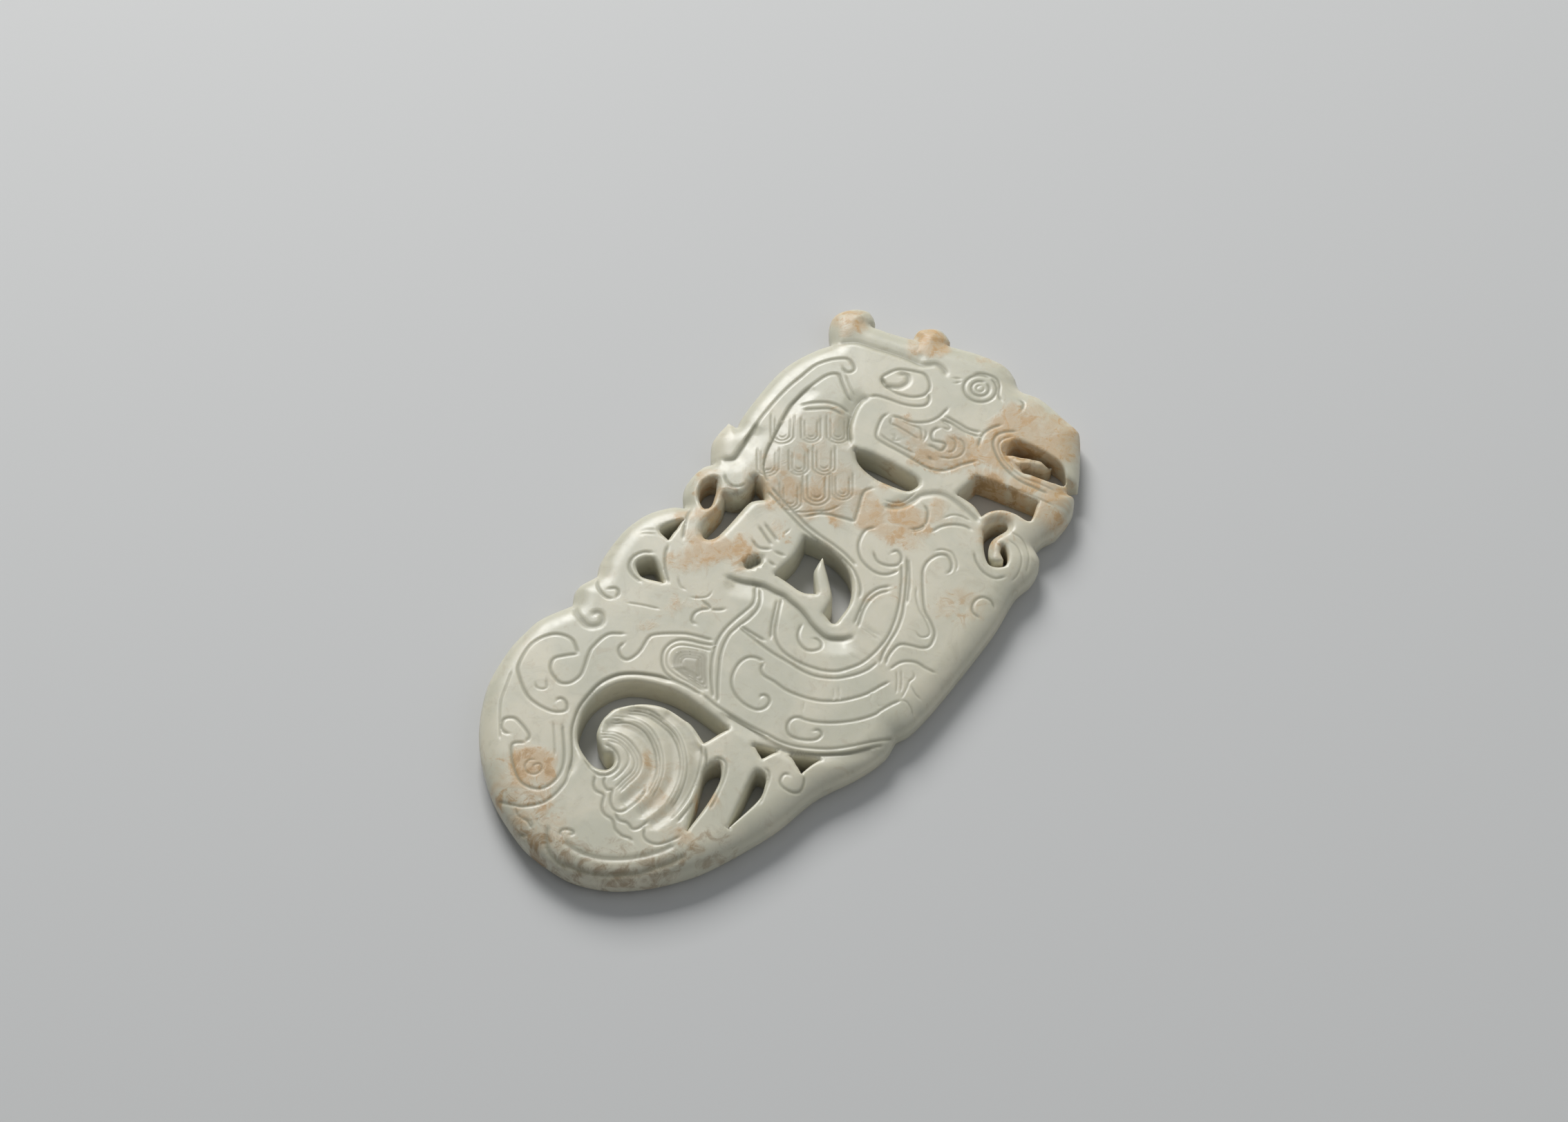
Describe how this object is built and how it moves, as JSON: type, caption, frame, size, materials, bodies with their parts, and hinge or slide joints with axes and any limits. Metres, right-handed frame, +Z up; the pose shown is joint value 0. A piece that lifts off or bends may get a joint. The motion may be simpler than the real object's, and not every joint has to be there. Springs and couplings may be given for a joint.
{
  "type": "openwork jade dragon plaque",
  "caption": "Flat openwork jade carving of a coiled dragon in low relief, pale celadon stone with russet stains, lying on its flat back.",
  "frame": {"origin": "centre of the outline's box, on the flat underside that lies on the table", "axes": "+X along the plaque towards the dragon's head, +Y towards its crest and back, +Z up out of the carved face"},
  "size_m": [0.1532, 0.0766, 0.0076],
  "materials": {
    "jade": "soft waxy polish on pale celadon jade, cloudy, with russet stains and darker carved lines"
  },
  "bodies": {
    "root": {"dragon_plaque": "jade"}
  },
  "joints": []
}
